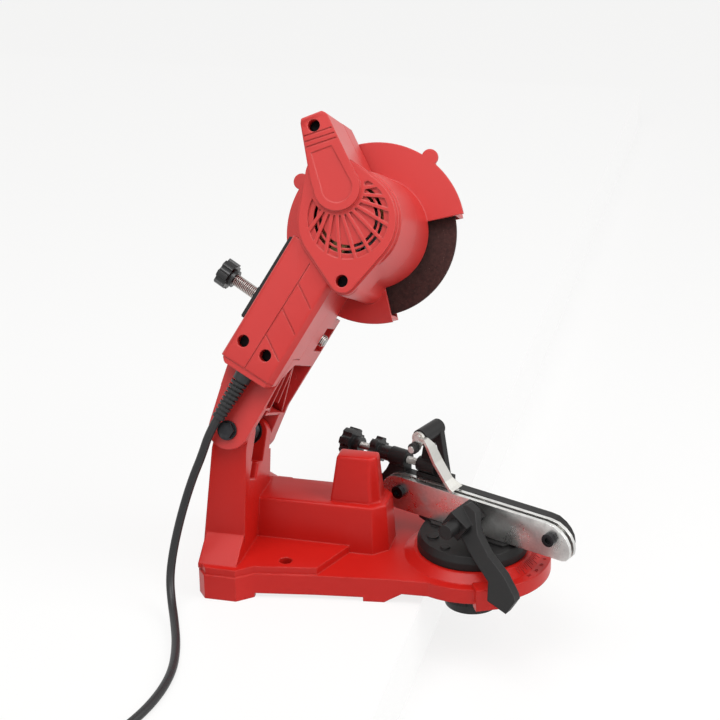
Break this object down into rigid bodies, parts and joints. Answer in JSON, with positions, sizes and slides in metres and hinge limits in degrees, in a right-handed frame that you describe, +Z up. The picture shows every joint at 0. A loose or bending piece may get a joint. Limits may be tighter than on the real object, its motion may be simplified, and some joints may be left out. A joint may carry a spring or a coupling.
{
  "type": "electric chainsaw sharpener",
  "caption": "Bench-mounted electric saw-chain grinder: hinged motor head with a thin abrasive wheel and guard over a swivelling chain vise on a moulded base.",
  "frame": {"origin": "on the bench face, under the point where the head's pivot axis crosses the wheel's middle plane along the base's length", "axes": "+X along the base from the pivot pillar to the vise, +Y away from the motor's side, +Z up from the bench"},
  "size_m": [0.2592, 0.4495, 0.3265],
  "materials": {
    "red_shell": "satin moulded",
    "red_plastic": "satin moulded",
    "black_plastic": "fine matt",
    "black_cast": "matt black",
    "zinc_steel": "bright zinc",
    "dark_steel": "black oxide",
    "bright_steel": "polished",
    "pawl_steel": "satin",
    "laminated_steel": "laminated",
    "copper": "enamelled wire",
    "carbon": "graphite",
    "abrasive": "bonded grit",
    "rubber": "soft matt",
    "brass": "turned"
  },
  "bodies": {
    "base": {"base_moulding": "red_shell", "pivot_bolt": "dark_steel", "pivot_lock_nut": "zinc_steel", "pivot_washer": "dark_steel", "return_spring": "dark_steel", "power_cord": "rubber", "cord_coil": "rubber", "power_plug": "rubber", "plug_pins": "bright_steel", "plug_lead": "rubber"},
    "head": {"arm_moulding": "red_plastic", "guard_cover": "red_plastic", "guard_cover_screws": "dark_steel", "motor_cover": "red_plastic", "housing_screws": "dark_steel", "switch_panel": "black_plastic", "switch_body": "black_plastic", "rocker_pin": "bright_steel", "strain_relief": "rubber", "depth_nut": "zinc_steel", "motor_stator": "laminated_steel", "field_coils": "copper", "carbon_brushes": "carbon", "brush_holders": "brass", "front_bearing": "bright_steel", "tail_bearing": "bright_steel"},
    "rocker_switch": {"rocker": "black_plastic"},
    "spindle": {"motor_shaft": "bright_steel", "armature_core": "laminated_steel", "armature_winding": "copper", "commutator": "copper", "cooling_fan": "black_plastic", "inner_flange": "zinc_steel", "grinding_wheel": "abrasive", "outer_flange": "zinc_steel", "wheel_nut": "zinc_steel"},
    "depth_stop_screw": {"depth_screw": "zinc_steel"},
    "depth_stop_knob": {"depth_knob": "black_plastic"},
    "vise": {"vise_body": "black_cast", "near_chain_plate": "zinc_steel", "far_chain_plate": "zinc_steel", "plate_spacers": "zinc_steel", "vise_screws": "dark_steel", "clamp_stud": "dark_steel", "swivel_bolt": "zinc_steel"},
    "swivel_lock": {"lock_knob": "black_plastic"},
    "clamp_handle": {"clamp_lever": "black_cast"},
    "chain_stop": {"stop_carriage": "black_cast"},
    "stop_pawl": {"pawl": "pawl_steel", "pawl_pin": "bright_steel", "pawl_rest_pin": "bright_steel", "pawl_rest_ring": "rubber"},
    "stop_adjuster": {"stop_screw": "zinc_steel", "stop_knob": "black_plastic"},
    "stop_lock": {"star_lock_nut": "black_plastic"}
  },
  "joints": [
    {"name": "arm_pivot", "type": "hinge", "parent": "base", "child": "head", "pos_m": [0, 0.01115, 0.0838], "axis": [0, 0.9048, -0.4258], "range_deg": [0, 31], "stiffness_Nm_per_rad": 1.6, "springref_deg": -57.3},
    {"name": "spindle_spin", "type": "hinge", "parent": "head", "child": "spindle", "pos_m": [0.06945, 0.06944, 0.20766], "axis": [0, 0.9048, -0.4258], "continuous": true},
    {"name": "switch_rock", "type": "hinge", "parent": "head", "child": "rocker_switch", "pos_m": [0.00986, -0.00898, 0.18193], "axis": [0, -0.9048, 0.4258], "range_deg": [0, 14]},
    {"name": "depth_stop_slide", "type": "slide", "parent": "head", "child": "depth_stop_screw", "axis": [0.8712, -0.209, -0.4442], "range_m": [-0.003, 0.006]},
    {"name": "depth_knob_turn", "type": "hinge", "parent": "depth_stop_screw", "child": "depth_stop_knob", "pos_m": [0.03452, 0.03108, 0.14963], "axis": [0.8712, -0.209, -0.4442], "range_deg": [-865, 1729]},
    {"name": "vise_swivel", "type": "hinge", "parent": "base", "child": "vise", "pos_m": [0.15, 0, 0.03], "axis": [0, 0, 1], "range_deg": [-57, 2]},
    {"name": "swivel_lock_turn", "type": "hinge", "parent": "vise", "child": "swivel_lock", "pos_m": [0.15, 0, -0.01], "axis": [0, 0, 1], "range_deg": [-180, 180]},
    {"name": "clamp_turn", "type": "hinge", "parent": "vise", "child": "clamp_handle", "pos_m": [0.14898, -0.01039, 0.048], "axis": [0.3795, 0.9252, 0], "range_deg": [-70, 0]},
    {"name": "chain_stop_slide", "type": "slide", "parent": "vise", "child": "chain_stop", "axis": [0.9252, -0.3795, 0], "range_m": [-0.006, 0.01]},
    {"name": "stop_adjuster_turn", "type": "hinge", "parent": "chain_stop", "child": "stop_adjuster", "pos_m": [0.06051, 0.04535, 0.065], "axis": [0.9252, -0.3795, 0], "range_deg": [-2701, 4501]},
    {"name": "stop_lock_turn", "type": "hinge", "parent": "vise", "child": "stop_lock", "pos_m": [0.07902, 0.03776, 0.065], "axis": [0.9252, -0.3795, 0], "range_deg": [-30, 180]},
    {"name": "pawl_flip", "type": "hinge", "parent": "chain_stop", "child": "stop_pawl", "pos_m": [0.11651, 0.01374, 0.0932], "axis": [0.3795, 0.9252, 0], "range_deg": [-60, 0]}
  ],
  "couplings": [
    {"joint": "depth_knob_turn", "follows": "depth_stop_slide", "rad_per_m": 5026.5},
    {"joint": "stop_adjuster_turn", "follows": "chain_stop_slide", "rad_per_m": 7854}
  ]
}
